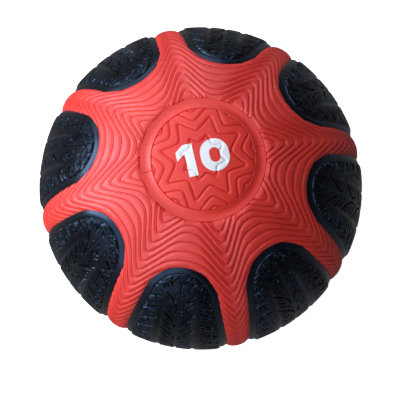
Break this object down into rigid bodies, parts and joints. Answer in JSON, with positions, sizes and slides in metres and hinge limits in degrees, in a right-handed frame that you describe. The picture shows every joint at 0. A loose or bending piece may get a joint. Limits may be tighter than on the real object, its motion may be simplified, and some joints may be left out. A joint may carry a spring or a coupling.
{
  "type": "medicine ball",
  "caption": "Thick rubber exercise ball: a red grooved star with arms from pole to pole, black tread pads between them, a channel ring and domed disc at each pole, and a needle valve.",
  "frame": {"origin": "centre of the ball", "axes": "+Z along the polar axis, towards the pole that carries the weight mark; +X through the middle of a tread pad; the valve is at the -Z pole"},
  "size_m": [0.24, 0.24, 0.239],
  "materials": {
    "red_cover": "matt moulded red rubber",
    "black_tread": "semi-matt black tread rubber",
    "red_ring": "smooth matt red rubber",
    "red_disc": "matt moulded red rubber",
    "white_print": "white printed ink on rubber",
    "core_rubber": "plain black carcass rubber",
    "bladder_rubber": "smooth butyl rubber",
    "valve_rubber": "smooth black valve rubber"
  },
  "bodies": {
    "root": {"upper_star_cover": "red_cover", "lower_star_cover": "red_cover", "tread_pad_1": "black_tread", "tread_pad_2": "black_tread", "tread_pad_3": "black_tread", "tread_pad_4": "black_tread", "tread_pad_5": "black_tread", "tread_pad_6": "black_tread", "tread_pad_7": "black_tread", "tread_pad_8": "black_tread", "upper_channel_ring": "red_ring", "lower_channel_ring": "red_ring", "upper_centre_disc": "red_disc", "lower_centre_disc": "red_disc", "weight_mark": "white_print", "core_shell_upper": "core_rubber", "core_shell_lower": "core_rubber", "bladder": "bladder_rubber", "valve_housing": "valve_rubber", "valve_insert": "valve_rubber"}
  },
  "joints": []
}
